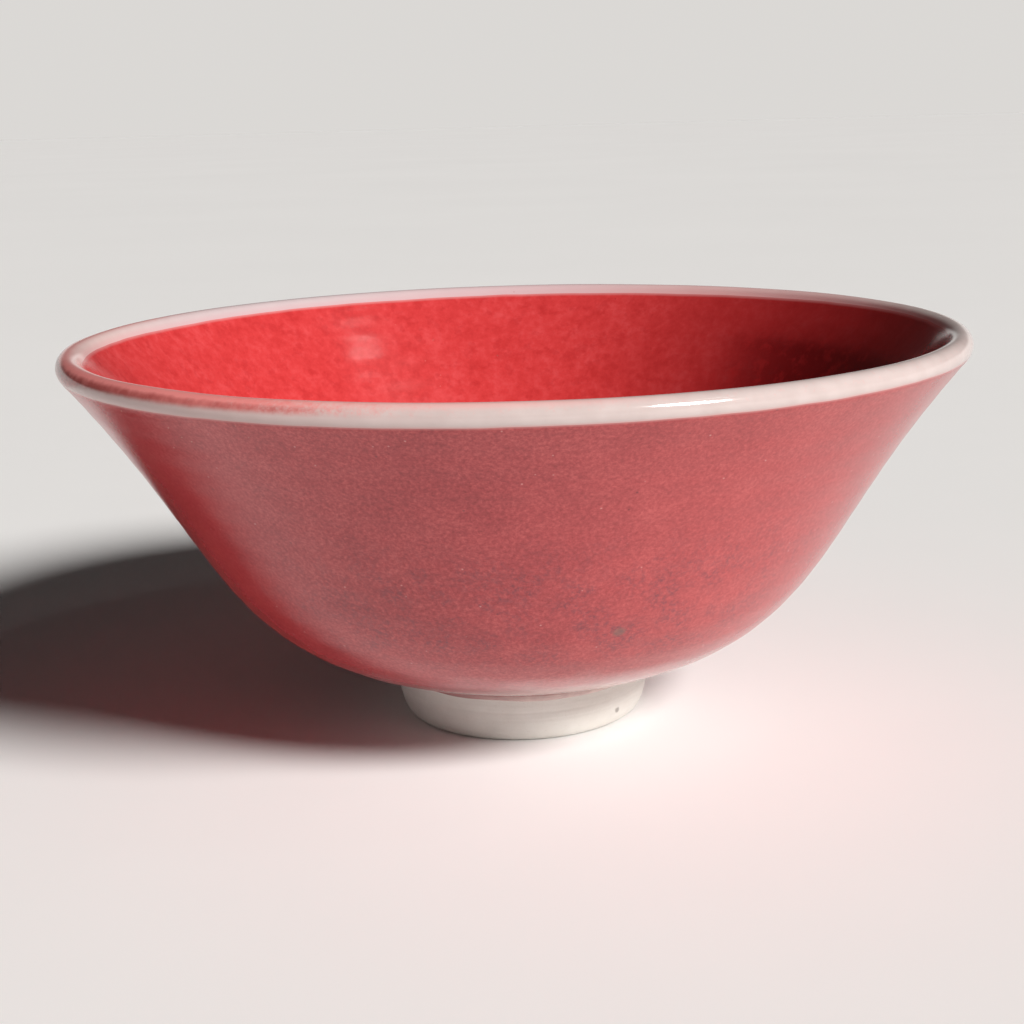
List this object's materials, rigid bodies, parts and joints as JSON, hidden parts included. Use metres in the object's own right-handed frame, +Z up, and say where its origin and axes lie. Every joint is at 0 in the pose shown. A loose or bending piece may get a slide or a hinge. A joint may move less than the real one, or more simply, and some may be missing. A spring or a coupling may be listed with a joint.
{
  "type": "glazed porcelain bowl",
  "caption": "Round thrown porcelain bowl with a flared wall, a rounded white lip, copper-red glaze inside and out, and a bare turned foot ring that it stands on.",
  "frame": {"origin": "middle of the foot ring's standing face, on the table", "axes": "+Z up along the axis that the bowl was turned about; the bowl is round, so +X and +Y may point anywhere"},
  "size_m": [0.15, 0.15, 0.066],
  "materials": {
    "porcelain": "unglazed, matte",
    "bare_foot": "unglazed, matte, turned",
    "red_glaze_outside": "glossy copper red, mottled",
    "red_glaze_inside": "glossy copper red",
    "white_glaze": "glossy white, stained brown in places",
    "thin_glaze": "glossy, thin, pale rose"
  },
  "bodies": {
    "root": {"bowl_body": "porcelain", "foot_ring": "bare_foot", "outer_glaze": "red_glaze_outside", "inner_glaze": "red_glaze_inside", "lip_glaze": "white_glaze", "foot_collar_glaze": "thin_glaze"}
  },
  "joints": []
}
